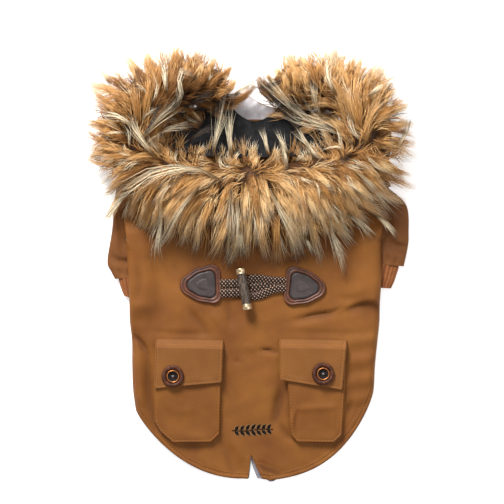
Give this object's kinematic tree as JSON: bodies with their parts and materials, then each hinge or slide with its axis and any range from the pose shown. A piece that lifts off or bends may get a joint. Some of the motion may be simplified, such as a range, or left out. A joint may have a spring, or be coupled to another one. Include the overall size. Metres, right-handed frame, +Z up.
{
  "type": "hooded dog coat laid flat",
  "caption": "Small dog's winter coat laid flat, back up: short sleeves with rib cuffs, fur-edged hood thrown back, toggle fastening, flap pockets and a curved hem with a slit.",
  "frame": {"origin": "middle of the bounding box on the surface that the coat lies on", "axes": "+X to the coat's right as seen from above, +Y from the hem to the hood, +Z up out of the back"},
  "size_m": [0.2614, 0.3538, 0.0454],
  "materials": {
    "shell_twill": "fine cotton and nylon twill with a soft satin sheen, caramel brown",
    "rib_knit": "ribbed knit, matt",
    "black_fleece": "short black fleece",
    "grey_lining": "smooth lining, light grey",
    "fur_pile": "long imitation fur, golden brown with cream and black-tipped hairs",
    "patch_leather": "smooth brown imitation leather, stitched edge",
    "inlay_leather": "raised charcoal imitation leather",
    "braided_cord": "round braid, dark brown with pale flecks",
    "horn": "dark imitation horn, polished",
    "button_brown": "brown moulded resin with a corded rim",
    "cap_brass": "polished pale brass"
  },
  "bodies": {
    "root": {"back_panel": "shell_twill", "belly_panel_left": "shell_twill", "belly_panel_right": "shell_twill", "chest_lining": "grey_lining", "tail_lining": "grey_lining", "hood_shell": "shell_twill", "hood_lining": "black_fleece", "fur_trim": "fur_pile", "sleeve_left": "shell_twill", "sleeve_right": "shell_twill", "cuff_left": "rib_knit", "cuff_right": "rib_knit", "pocket_bag_left": "shell_twill", "pocket_bag_right": "shell_twill", "pocket_flap_left": "shell_twill", "pocket_flap_right": "shell_twill", "button_left": "button_brown", "button_right": "button_brown", "button_boss_left": "horn", "button_boss_right": "horn", "patch_left": "patch_leather", "patch_right": "patch_leather", "patch_inlay_left": "inlay_leather", "patch_inlay_right": "inlay_leather", "cord_left": "braided_cord", "loop_right": "braided_cord", "toggle_barrel": "horn", "toggle_cap_top": "cap_brass", "toggle_cap_bottom": "cap_brass"}
  },
  "joints": []
}
